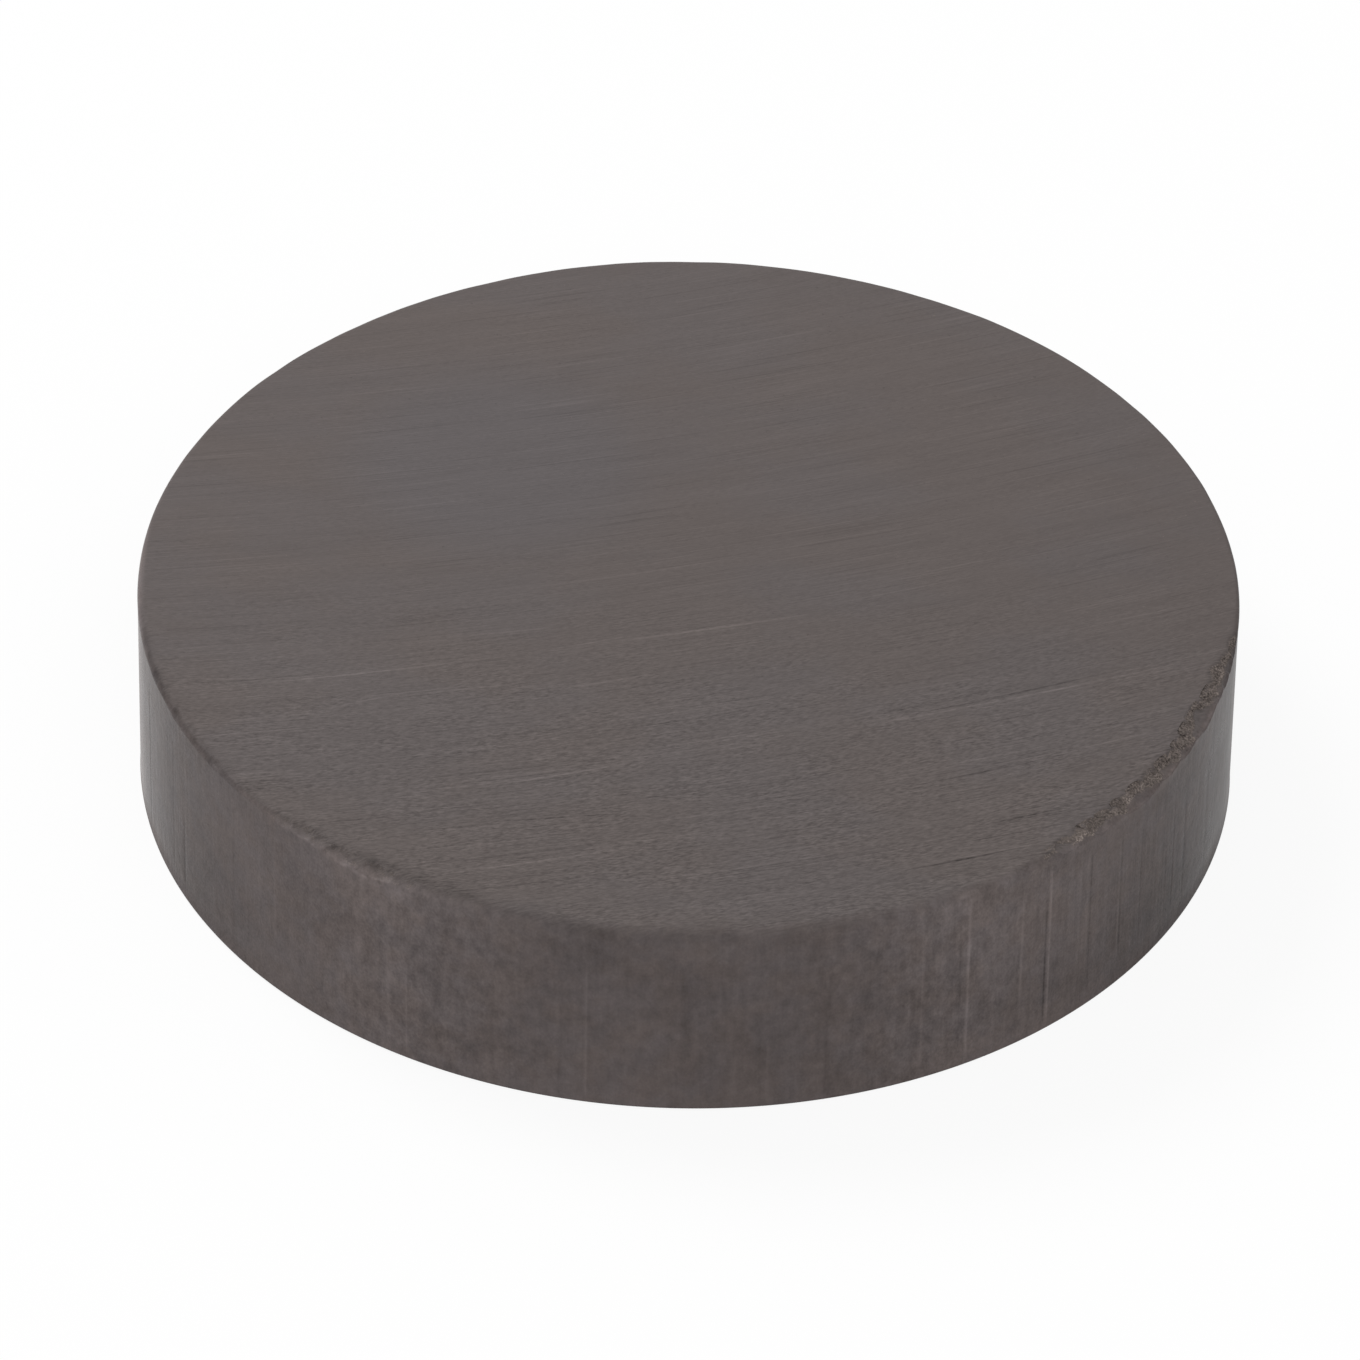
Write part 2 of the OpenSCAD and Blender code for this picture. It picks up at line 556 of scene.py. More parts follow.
# angle and how far down the wall the bare grains reach there; below, the scar is rubbed smooth
BARE = [
    (-180, 0.2), (-145, 0.16), (-138, 0.16), (-120, 0.2), (-104, 0.2), (-64, 0.16), (-56, 0.07),
    (-52, 0.09), (-48, 0.11), (-44, 0.13), (-40, 0.16), (-36, 0.17), (-28, 0.16), (-20, 0.12),
    (-12, 0.15), (-6, 0.15), (0, 0.2), (180, 0.2),
]
BREAK_FADE = 0.06

drop = THICKNESS - carved[..., 2]
bare = read(BARE, degrees) + 0.05 * lumps(carved, 0.35, 71) + 0.03 * lumps(carved, 0.12, 72)
is_bare = np.clip((bare - drop) / BREAK_FADE + 0.5, 0, 1)
broken = smooth(np.clip(moved / BREAK_FADE, 0, 1) * is_bare)
print(f"{100 * (broken > 0.5).mean():.0f}% of the points show bare grains")

# %% [markdown]
# ## Light and dark spots
#
# Here and there a crystal face in a scar is painted pale, a painted glint, a pit or a notch
# gets painted shade, and the wall has paler and darker clouds; those at its foot are painted
# light, standing in for light thrown up from the white floor. These are listed one by one.
# Each is a soft egg of light or dark with its own size, and its tone is kept on the points
# beside the tone of the score marks. Painted shade also darkens a scar by itself where it
# is hollow, which is found by comparing each point's depth with the average round it.
# Painting on the mesh would do as well, but numbers can be read, moved and made again.

# %% Spots
# angle, inset from the corner, height, half length along the rim, half height, tone: above
# zero a painted glint, below zero painted shade
GLINTS_AND_SHADES = [
    (-134.4, 0.05, 4.93, 0.16, 0.07, 0.35),
    (-131.9, 0.06, 4.9, 0.08, 0.05, 0.7),
    (-130.6, 0, 4.8, 0.22, 0.1, 0.4),
    (-128.6, 0, 4.8, 0.16, 0.09, 0.7),
    (-126.7, 0.01, 4.78, 0.15, 0.07, 1.4),
    (-125.3, 0.01, 4.74, 0.12, 0.07, 1.1),
    (-124.2, 0.01, 4.72, 0.09, 0.06, 1.6),
    (-122.9, 0, 4.64, 0.22, 0.1, 0.5),
    (-121.6, 0.03, 4.84, 0.12, 0.08, 0.6),
    (-119.6, 0, 4.66, 0.26, 0.1, 0.6),
    (-116.8, 0.02, 4.88, 0.12, 0.06, 0.6),
    (-115.6, 0, 4.66, 0.3, 0.08, 0.3),
    (-112.7, 0.03, 4.92, 0.07, 0.04, 0.5),
    (-110.1, 0, 4.88, 0.1, 0.08, -0.9),
    (-103.7, 0.02, 4.92, 0.12, 0.07, -0.7),
    (-78.9, 0, 4.88, 0.2, 0.1, -0.4),
    (-77.3, 0.02, 4.92, 0.12, 0.08, 0.4),
    (-75.2, 0.02, 4.9, 0.22, 0.1, -0.3),
    (-60.4, 0, 4.89, 0.11, 0.04, 2.6),
    (-59.4, 0.01, 4.91, 0.14, 0.035, 1.6),
    (-57, 0.03, 4.92, 0.24, 0.07, -0.12),
    (-55, 0.08, 4.91, 0.22, 0.06, 0.35),
    (-49.5, 0.03, 4.93, 0.07, 0.06, 0.9),
    (-46.9, 0.04, 4.93, 0.18, 0.04, 1.7),
    (-45.6, 0.07, 4.93, 0.2, 0.04, 1.8),
    (-44.2, 0.09, 4.93, 0.16, 0.04, 1.5),
    (-42.6, 0.08, 4.92, 0.1, 0.04, 0.9),
    (-41.2, 0.12, 4.92, 0.06, 0.04, 0.8),
    (-40.1, 0.05, 4.93, 0.08, 0.05, 0.7),
    (-37.4, 0.04, 4.9, 0.07, 0.05, 0.7),
    (-36.5, 0.17, 4.92, 0.15, 0.08, 2),
    (-35.6, 0.08, 4.92, 0.12, 0.06, 1.9),
    (-34.8, 0.17, 4.92, 0.12, 0.06, 1.9),
    (-33.9, 0.24, 4.93, 0.07, 0.05, 0.6),
    (-30.4, 0.18, 4.91, 0.09, 0.06, 0.6),
    (-28.2, 0.24, 4.94, 0.06, 0.05, 0.7),
    (-26.9, 0.16, 4.92, 0.08, 0.06, 0.6),
    (-24.6, 0.22, 4.94, 0.07, 0.05, 0.7),
    (-21.8, 0.16, 4.91, 0.1, 0.06, 0.6),
    (-18.4, 0.24, 4.94, 0.08, 0.05, 0.7),
    (-16, 0.14, 4.9, 0.1, 0.07, 0.7),
    (-12.6, 0.1, 4.9, 0.08, 0.06, 0.7),
    (-33, 0.3, 4.95, 0.3, 0.06, -0.3),
    (-38.6, 0.26, 4.95, 0.4, 0.07, -0.3),
]
# angle, height, half length round the wall, half height, tone; the rows at a height of 0.1
# are painted light at the foot of the wall
CLOUDS_AND_FOOT_LIGHT = [
    (-124, 2.4, 2, 2.6, 0.45),
    (-127, 4.5, 1.6, 0.5, 0.45),
    (-149, 0.9, 2.2, 1.8, -0.45),
    (-95, 4.3, 1.9, 1.2, -0.3),
    (-81, 3.1, 2.8, 1.1, -0.4),
    (-108, 0.1, 6.5, 0.7, 0.55),
    (-97, 0.1, 2.4, 0.6, 0.4),
    (-55, 3.4, 2.2, 1.6, 0.3),
    (-54, 0.1, 2.8, 0.8, 0.65),
    (-31, 0.8, 2.6, 1.6, -0.6),
    (-14, 2.2, 2.4, 2.8, -0.6),
    (-117, 4.4, 1.8, 0.7, 0.4),
    (-140, 3.1, 2, 2.4, 0.42),
    (-44, 3.4, 3, 1.9, 0.3),
    (-60, 4.5, 1.1, 0.7, 0.25),
    (-30, 0.1, 4, 0.3, 0.35),
    (-162, 0.1, 2.5, 0.3, 0.5),
    (-163, 3, 2.6, 3, -0.2),
]
# angle, place across the rim (inset from the corner, or below zero down the wall), half
# width, tone: first a line of painted shade and dirt, then a painted highlight along the
# edge between scars and wall
RIM_SHADE_AND_DIRT = [
    (-180, 0.04, 0.16, 0), (-174, 0.06, 0.1, -0.5), (-168, 0.04, 0.14, -0.95),
    (-156, 0.02, 0.18, -1.05), (-150, 0.02, 0.17, -0.8), (-144, 0.03, 0.15, -0.6),
    (-138, 0.08, 0.12, -0.3), (-133, 0.2, 0.15, -0.65), (-128, 0.24, 0.18, -0.75),
    (-122, 0.26, 0.24, -0.85), (-116, 0.26, 0.24, -0.8), (-111, 0.21, 0.22, -0.7),
    (-104, 0.12, 0.24, -0.58), (-98, 0.05, 0.24, -0.5), (-90, 0, 0.2, -0.35),
    (-84, 0, 0.2, -0.35), (-80, -0.02, 0.2, -0.18), (-74, -0.02, 0.2, -0.06),
    (-66, 0, 0.15, 0), (-60, 0.1, 0.1, 0), (-56, 0.12, 0.12, 0.25),
    (-51, 0.26, 0.18, 0.05), (-44, 0.32, 0.16, -0.35), (-39, 0.25, 0.16, -0.4),
    (-34, 0.26, 0.16, -0.55), (-28, 0.24, 0.16, -0.5), (-20, 0.27, 0.18, -0.5),
    (-12, 0.22, 0.16, -0.5), (-6, 0.1, 0.12, -0.25), (0, 0, 0.1, 0), (180, 0, 0.14, 0),
]
RIM_EDGE_HIGHLIGHT = [
    (-180, -0.12, 0.08, 0), (-144, -0.12, 0.1, 0), (-140, -0.16, 0.12, 0.18),
    (-130, -0.14, 0.1, 0.02), (-124, -0.14, 0.14, 0.05), (-119, -0.12, 0.22, 0.36),
    (-113, -0.08, 0.2, 0.4), (-108, -0.05, 0.14, 0.22), (-103, -0.05, 0.1, 0),
    (-64, -0.08, 0.14, 0), (-60, -0.08, 0.16, 0.2), (-55, -0.15, 0.14, 0.15),
    (-50, -0.18, 0.13, 0.24), (-44, -0.2, 0.13, 0.28), (-36, -0.24, 0.13, 0.55),
    (-30, -0.24, 0.13, 0.45), (-23, -0.2, 0.12, 0.45), (-18, -0.18, 0.11, 0.35),
    (-13, -0.1, 0.12, 0), (-9, -0.1, 0.12, -0.2), (-5, -0.06, 0.08, 0),
    (180, -0.06, 0.08, 0),
]
# a hollow: how many grid steps away it is compared, and the depth in mm that counts as full
HOLLOW_SPAN = 4
HOLLOW_DEPTH = 0.04


def glint_and_shade_tones(points):
    """The sum of the spots' tones. Each falls off as exp(-d^2), with d the distance from
    its middle measured in its own half lengths. Outwards a spot is twice as wide as up."""
    tones = np.zeros(points.shape[:2])
    for angle, inset, level, along, tall, strength in GLINTS_AND_SHADES:
        sizes = (along, 2 * tall, tall)
        distance = egg_distance(points, rim_point(angle, inset, level), angle, sizes)
        tones += strength * np.exp(-(distance**2))
    return tones


def cloud_and_foot_light_tones(height):
    """The same for the clouds and the painted light at the foot of the wall, measured round it
    and up it.
    """
    tones = np.zeros_like(height)
    for angle, level, long, tall, strength in CLOUDS_AND_FOOT_LIGHT:
        beside, upward = way_from(angle) / long, (height - level) / tall
        tones += strength * np.exp(-(beside**2 + upward**2))
    return tones


def rim_line(points, table):
    """A line of painted shade and dirt, or of painted highlight, that follows the worn rim,
    now on the face, now on the wall. Across it the tone falls off as a bell, and two sizes
    of lumps break it up."""
    place, width, strength = (read(table, degrees, column) for column in (1, 2, 3))
    inset = RADIUS - np.hypot(points[..., 0], points[..., 1])
    across = inset - (THICKNESS - points[..., 2])
    place = place + 0.03 * lumps(points, 0.30, 61)
    patchy = 1 + 0.7 * lumps(points, 0.22, 62) + 0.4 * lumps(points, 0.7, 63)
    return strength * np.exp(-(((across - place) / width) ** 2)) * np.clip(patchy, 0, 2)


def hollows(depth):
    """How much deeper than its surroundings each point has been pushed: its own depth less
    the average over a square of nine points, itself and eight that are a span away."""
    shifts = list(itertools.product((-HOLLOW_SPAN, 0, HOLLOW_SPAN), repeat=2))
    around = sum(np.roll(depth, shift, (0, 1)) for shift in shifts) / len(shifts)
    return np.clip((depth - around) / HOLLOW_DEPTH, 0, 1)


rounding = np.where(height > THICKNESS / 2, worn, RIM_ROUND)
wallness = np.clip((reach - RADIUS) / rounding + 1, 0, 1)
tone = score_light + glint_and_shade_tones(carved) + cloud_and_foot_light_tones(height) * wallness
for table in (RIM_SHADE_AND_DIRT, RIM_EDGE_HIGHLIGHT):
    tone += rim_line(carved, table)
# painted shade: how hollow a scar is, which darkens the fracture
hollow = hollows(moved) * broken
broken *= read(FRESH, degrees)
print(f"tone runs from {tone.min():.2f} to {tone.max():.2f}")

# %% [markdown]
# ## From grid to mesh
#
# A grid that closes on itself becomes quads by joining each point to the next column and
# the next row. The last column joins the first, and the two ends of the section close to
# a point in the middle of each face. The finish needs to know more than the shape:
# whether a point is wall or face, how broken it is, and where the score marks are. Each
# is stored as a number on the points.

# %% Build the mesh
rows, columns = carved.shape[:2]


def grid_faces(rows, columns):
    """Quads between neighbouring rows, wound so that they face outwards, and a fan of
    triangles round each pole. The two poles are the last two vertices."""
    here = np.arange(columns)
    beside = (here + 1) % columns
    start = np.arange(rows - 1)[:, None] * columns
    corners = [start + here, start + columns + here, start + columns + beside, start + beside]
    quads = np.stack(corners, axis=-1).reshape(-1, 4)
    top, bottom, last = rows * columns, rows * columns + 1, (rows - 1) * columns
    upper = np.stack([np.full(columns, top), here, beside], axis=-1)
    lower = np.stack([np.full(columns, bottom), last + beside, last + here], axis=-1)
    return quads.tolist() + upper.tolist() + lower.tolist()


poles = np.array([[0.0, 0.0, THICKNESS], [0.0, 0.0, 0.0]])
vertices = np.concatenate([carved.reshape(-1, 3), poles]) * MM
mesh = bpy.data.meshes.new("magnet_skin")
mesh.from_pydata(vertices.tolist(), [], grid_faces(rows, columns))
mesh.polygons.foreach_set("use_smooth", np.ones(len(mesh.polygons), bool))
mesh.update()


def store(name, values):
    """Keeps one number a point on the mesh, with zero at the two poles."""
    attribute = mesh.attributes.new(name, "FLOAT", "POINT")
    attribute.data.foreach_set("value", np.append(values.ravel(), (0, 0)).astype(np.float32))


store("wall", wallness)
store("broken", broken)
store("tone", tone)
store("hollow", hollow)
triangles = sum(len(polygon.vertices) - 2 for polygon in mesh.polygons)
print(f"{len(mesh.vertices)} vertices, {triangles} triangles")

# %% [markdown]
# ## A map for the exported finish
#
# When the model is exported, its finish is baked into a square picture, and each part of
# the skin needs a patch of it. The faces are laid flat as two discs, a large one for the
# face that is seen. The wall is cut into three strips, and these lie above the discs.
# The finish itself never reads this map.

# %% Lay the skin out flat
FACE_SPOTS = ((0.335, 0.335, 0.325), (0.835, 0.165, 0.155))
STRIPS = 3
STRIP_LEFT, STRIP_WIDTH = 0.01, 0.98
STRIP_BOTTOM, STRIP_HEIGHT, STRIP_STEP = 0.68, 0.095, 0.105
first_wall = len(face_in)
last_wall = rows - 4

quad_row = np.repeat(np.arange(rows - 1), columns)
quad_column = np.tile(np.arange(columns), rows - 1)
corner_row = quad_row[:, None] + np.array([0, 1, 1, 0])
corner_column = quad_column[:, None] + np.array([0, 0, 1, 1])


def face_map(distance, turn, spot):
    """A face seen from outside, as a disc on the square round the spot."""
    x, y, size = FACE_SPOTS[spot]
    scale = size * distance / RADIUS
    mirrored = -1 if spot else 1
    return np.stack([x + mirrored * scale * np.cos(turn), y + scale * np.sin(turn)], axis=-1)


def wall_map(corner_row, corner_column, quad_column):
    """The wall unrolled: along a strip with the angle, and across it with the row."""
    strip = quad_column * STRIPS // columns
    along = corner_column * STRIPS / columns - strip[:, None]
    across = (last_wall - corner_row) / (last_wall - first_wall + 1)
    u = STRIP_LEFT + STRIP_WIDTH * along
    v = STRIP_BOTTOM + STRIP_STEP * strip[:, None] + STRIP_HEIGHT * across
    return np.stack([u, v], axis=-1)


closed_angles = np.append(angles, angles[0] + 2 * np.pi)
turn = closed_angles[corner_column]
flat_reach = reach[corner_row, corner_column % columns]
layout = wall_map(corner_row, corner_column, quad_column)
on_top = quad_row < first_wall - 1
on_bottom = quad_row >= last_wall
layout[on_top] = face_map(flat_reach, turn, 0)[on_top]
layout[on_bottom] = face_map(flat_reach, turn, 1)[on_bottom]
fan_turn = np.stack([angles, angles, closed_angles[1:]], axis=-1)
fan_reach = np.array([0, 1, 1])
upper_fan = face_map(reach[0].mean() * fan_reach, fan_turn, 0)
lower_fan = face_map(reach[-1].mean() * fan_reach, fan_turn[:, [0, 2, 1]], 1)
uv = np.concatenate([layout.reshape(-1, 2), upper_fan.reshape(-1, 2), lower_fan.reshape(-1, 2)])
mesh.uv_layers.new(name="OFBake")
mesh.uv_layers["OFBake"].data.foreach_set("uv", uv.astype(np.float32).ravel())
print(f"map runs from {uv.min():.2f} to {uv.max():.2f}")

# %% [markdown]
# ## The piece in its place
#
# The skin takes the place of the plain disc of the solid model. It is the same magnet in
# the same spot, so it rides on the same body.

# %% Put the piece in place of the plain disc
def put_in_scene(name, data):
    """Makes an object and puts it in the scene."""
    thing = bpy.data.objects.new(name, data)
    bpy.context.scene.collection.objects.link(thing)
    return thing


magnet = put_in_scene("magnet_skin", mesh)
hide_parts("magnet_disc")
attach(magnet, "root")

# %% [markdown]
# ## Building a finish
#
# A painted picture could carry the finish too, but it blurs close up and has seams. Here
# each finish is a graph of nodes, worked out afresh at every point. A few helpers keep the
# graphs readable: one adds a node and fills in its inputs, and another makes noise of a
# given grain. A grain is written in millimetres along each direction, so a streak is just
# noise whose grain is long one way and short the other.

# %% Node helpers
tree = None


def begin(name):
    """Starts a material and makes its graph the one that the helpers add to."""
    global tree
    material = bpy.data.materials.new(name)
    material.use_nodes = True
    tree = material.node_tree
    tree.nodes.clear()
    return material


def fill(slot, given):
    """Fills an input: a socket is linked, a value is written, and None is left alone."""
    if isinstance(given, bpy.types.NodeSocket):
        tree.links.new(given, slot)
    elif given is not None:
        slot.default_value = given


def add(kind, *inputs, **settings):
    """Adds a node, sets its properties, and fills its inputs in order."""
    node = tree.nodes.new(kind)
    for name, value in settings.items():
        setattr(node, name, value)
    for slot, given in zip(node.inputs, inputs):
        fill(slot, given)
    return node


def math_of(operation, *inputs):
    """The result of one sum."""
    return add("ShaderNodeMath", *inputs, operation=operation).outputs[0]


def times(first, second):
    """The product of two values."""
    return math_of("MULTIPLY", first, second)


def vector_of(operation, *inputs, result="Vector"):
    """The result of one sum of vectors: a vector, or with "Value" a number."""
    return add("ShaderNodeVectorMath", *inputs, operation=operation).outputs[result]


def axis_of(place, axis):
    """A place's x, y or z."""
    return add("ShaderNodeSeparateXYZ", place).outputs[axis]


def grain(place, size, detail, rough):
    """Noise around 0.5 with lumps of the given size in mm, one for all three directions or
    one for each. Detail adds rounds of finer lumps, and rough is how much each counts."""
    scale = [1 / (MM * length) for length in np.broadcast_to(size, 3)]
    stretched = vector_of("MULTIPLY", place, scale)
    noise = add("ShaderNodeTexNoise", stretched, None, 1.0, detail, rough, noise_dimensions="3D")
    return noise.outputs["Fac"]


def ramp(value, low, high, start=0.0, end=1.0):
    """Maps low to start and high to end, smoothly and clipped."""
    node = add("ShaderNodeMapRange", value, low, high, start, end)
    node.interpolation_type = "SMOOTHSTEP"
    return node.outputs[0]


def total(*terms):
    """The sum of several values."""
    result = terms[0]
    for term in terms[1:]:
        result = math_of("ADD", result, term)
    return result


def swing(noise, amount):
    """Turns noise around 0.5 into a swing around 0 of the given amount, which may itself
    be a socket."""
    return times(math_of("SUBTRACT", noise, 0.5), amount)


# a Mix node has a pair of inputs for each kind of thing, numbers before colours
def mix_value(share, first, second):
    """Mixes two numbers."""
    return add("ShaderNodeMix", share, None, first, second, data_type="FLOAT").outputs[0]


def blend(share, first, second):
    """Mixes two colours."""
    passed_over = [None] * 5
    return add("ShaderNodeMix", share, *passed_over, first, second, data_type="RGBA").outputs[2]


def scaled(colour, light):
    """A colour made lighter or darker."""
    return vector_of("SCALE", colour, None, None, light)


def stored(name):
    """A number kept on the points."""
    return add("ShaderNodeAttribute", attribute_name=name).outputs["Fac"]


def clay(light, warmth, red=1.19):
    """Fired ferrite's brown grey at a given lightness, as linear light. Warmth moves it
    from a faint purple, below zero, towards olive, above."""
    return (light * (red + warmth), light, light * (0.97 - warmth), 1.0)


# %% [markdown]
# ## The ground face
#
# A cup wheel much wider than the magnet sweeps over the face, so its marks are arcs of
# one large circle and run almost parallel. Measured from the wheel's centre, a mark is
# long in the direction round the circle and hair-thin along the radius. So the finish
# first turns the place on the face into those two directions, and then lays stretched
# noise on them. The grains that the wheel tore out lie in clusters, and the half of the
# face where the wheel ran out is smoother than the other.
# The few scratches that stand out are listed one by one, each as a very thin ellipse.

# %% Where the wheel scratched
WHEEL_CENTRE = (-23.0, 83.0)
WHEEL_RADIUS = 86.0
# a scratch fades out at both ends, so its ellipse is longer than the scratch by this much
SOFT_ENDS = 1.3
# start x, y, end x, y, half width, tone
SCRATCHES = [
    (-2.2, -2.25, 2.9, -0.95, 0.061, 0.32),
    (-2.9, -3.9, -0.9, -3.36, 0.047, 0.26),
    (-10.4, -4.03, -4.2, -2.78, 0.047, 0.3),
    (-11.3, -4.02, -8, -3.45, 0.041, -0.24),
    (-5.3, -2.06, -3, -1.66, 0.041, 0.2),
    (4.9, -10.1, 7.4, -9.24, 0.047, -0.44),
    (6.7, -8.42, 8.4, -7.8, 0.041, -0.4),
    (6.6, -6.6, 8.8, -5.7, 0.041, 0.28),
    (3.6, -5.12, 11.1, -2.52, 0.047, 0.36),
    (4.5, -4.76, 10.1, -2.66, 0.047, -0.32),
    (5, -7.15, 8.5, -5.88, 0.047, -0.36),
    (8.6, -5.75, 10.4, -5.05, 0.041, 0.3),
    (-8.3, -8.86, -6.2, -8.52, 0.041, -0.3),
    (-5, -7.6, -1.3, -6.52, 0.047, 0.28),
    (-4.9, -8.74, -1.4, -8.3, 0.047, -0.28),
    (-5.6, -10.6, -1.3, -9.52, 0.047, 0.32),
    (-10.9, -3.8, -8.6, -3.65, 0.041, 0.22),
    (-10.9, -4.6, -8.9, -4.2, 0.041, 0.2),
    (-10.8, -5.85, -7.9, -5.35, 0.041, 0.22),
    (-3.2, -2.5, -1.1, -1.85, 0.041, 0.2),
    (-7.9, -4.7, -6.2, -4.1, 0.041, 0.2),
    (8.5, -5.1, 10.8, -4.4, 0.041, -0.26),
]


def wheel_place(x, y):
    """Distance from the wheel's centre, and the way round it, in mm."""
    dx, dy = x - WHEEL_CENTRE[0], y - WHEEL_CENTRE[1]
    return math.hypot(dx, dy), math.atan2(dy, dx) * WHEEL_RADIUS


def arc_coordinates(spot):
    """The same two lengths as nodes, with the height as the third coordinate."""
    centre = (WHEEL_CENTRE[0] * MM, WHEEL_CENTRE[1] * MM, 0.0)
    x, y, z = add("ShaderNodeSeparateXYZ", vector_of("SUBTRACT", spot, centre)).outputs
    flat = add("ShaderNodeCombineXYZ", x, y).outputs[0]
    radial = vector_of("LENGTH", flat, result="Value")
    around = times(math_of("ARCTAN2", y, x), WHEEL_RADIUS * MM)
    return add("ShaderNodeCombineXYZ", radial, around, z).outputs[0]


def scratch_tones(arcs):
    """The sum of the scratches' tones. A Mapping node moves a scratch's middle to zero and
    shrinks its ellipse to a ball of radius 1, and its tone falls to nothing there. Coarse
    noise makes the scratches skip, as a grain of grit does."""
    tones = []
    for x0, y0, x1, y1, half_width, strength in SCRATCHES:
        (r0, a0), (r1, a1) = wheel_place(x0, y0), wheel_place(x1, y1)
        half_length = SOFT_ENDS * math.hypot(r1 - r0, a1 - a0) / 2
        middle = ((r0 + r1) / 2 * MM, (a0 + a1) / 2 * MM, THICKNESS * MM)
        turn = (0.0, 0.0, math.atan2(a1 - a0, r1 - r0))
        size = (half_length * MM, half_width * MM, MM)
        place = add("ShaderNodeMapping", arcs, middle, turn, size, vector_type="TEXTURE").outputs[0]
        tones.append(ramp(vector_of("LENGTH", place, result="Value"), 0.0, 1.0, strength, 0.0))
    patchy = ramp(grain(arcs, (0.10, 0.22, 1.0), 1, 0.5), 0.36, 0.60, 0.60, 1.25)
    return times(total(*tones), patchy)


print(f"{len(SCRATCHES)} scratches placed by hand")

# %% [markdown]
# ## The colour of the ground face
#
# Ground ferrite is a brown grey with faint violet clouds. A violet patch at the back left
# is a painted cool reflection, and a slope that makes the back left lighter is painted
# light. Every kind of mark makes it a little lighter or darker, so the finish starts at
# 1, adds a small swing for each kind, and multiplies the colour by the sum. Each amount
# can then be changed without touching the others.

# %% The ground face
FACE_LIGHT = 0.1005
FACE_RED = 1.154
FACE_TONE = 0.23
# a painted cool reflection: a violet patch at the back left of the face
VIOLET_PAINTED_REFLECTION = (-4.5 * MM, 4.5 * MM, THICKNESS * MM)
# painted light: how much lighter the face gets with each metre along x and y, lighter to the back
# left
FACE_PAINTED_LIGHT_SLOPE = (-3.6, 3.2, 0.0)
# where along y the strongly worked half of the face goes over into the smooth one
WORKED_HALF = (-7 * MM, 2 * MM)


def ground_face(spot):
    """Colour, roughness and relief of a ground face."""
    arcs = arc_coordinates(spot)
    back = axis_of(spot, "Y")
    worked = ramp(back, *WORKED_HALF, 1.0, 0.26)
    clusters = ramp(grain(arcs, (0.8, 2.0, 1.3), 2, 0.6), 0.36, 0.64, 0.65, 1.05)
    strength = times(worked, clusters)
    short_marks = grain(arcs, (0.052, 1.4, 1.0), 2, 0.6)
    long_marks = grain(arcs, (0.045, 5.0, 1.0), 1, 0.5)
    drift = grain(arcs, (0.22, 1.6, 1.0), 2, 0.6)
    sweep = grain(arcs, (0.60, 9.0, 1.0), 2, 0.6)
    specks = grain(arcs, (0.038, 0.13, 0.07), 1, 0.5)
    blotches = grain(arcs, (0.40, 0.80, 1.0), 2, 0.6)
    torn = ramp(grain(spot, 0.13, 2, 0.6), 0.69, 0.78)
    cloud = ramp(grain(spot, (4.5, 3.0, 4.0), 2, 0.5), 0.38, 0.62, 0.0, 0.4)
    # the violet patch at the back left is a painted cool reflection
    from_patch = vector_of("LENGTH", vector_of("SUBTRACT", spot, VIOLET_PAINTED_REFLECTION), result="Value")
    cloud = math_of("MAXIMUM", cloud, ramp(from_patch, 2.0 * MM, 5.0 * MM, 0.9, 0.0))
    pale_lines = ramp(long_marks, 0.63, 0.70, 0.0, 0.165)
    dark_lines = ramp(long_marks, 0.37, 0.30, 0.0, -0.175)
    light = total(
        1.0,
        # painted light: lighter towards the back left
        vector_of("DOT_PRODUCT", spot, FACE_PAINTED_LIGHT_SLOPE, result="Value"),
        swing(short_marks, times(strength, 0.25)),
        swing(specks, times(strength, 1.05)),
        times(total(pale_lines, dark_lines), math_of("MAXIMUM", worked, 0.7)),
        swing(drift, ramp(back, -6 * MM, 1 * MM, 0.035, 0.11)),
        swing(blotches, 0.04),
        swing(sweep, 0.14),
        scratch_tones(arcs),
        times(torn, -0.17),
        times(stored("tone"), FACE_TONE),
    )
    brown = clay(FACE_LIGHT, 0.016, FACE_RED)
    violet = clay(FACE_LIGHT * 1.03, -0.042, FACE_RED)
    colour = scaled(blend(cloud, brown, violet), light)
    rough = math_of("MULTIPLY_ADD", short_marks, 0.20, 0.42)
    relief = total(times(short_marks, 0.006), times(specks, 0.003))
    return colour, rough, relief


# %% [markdown]
# ## The pressed wall
#
# The wall was never ground. It keeps the skin it got in the die: cloudy, mottled, and
# drawn from top to bottom by the scoring. The clouds are noise with a grain of a
# millimetre or more, the mottle is noise of a quarter of that, and the scoring is noise
# with a grain many times taller than wide, plus the marks that were stored on the points.

# %% The pressed wall
WALL_LIGHT = 0.0975
WALL_TONE = 0.33


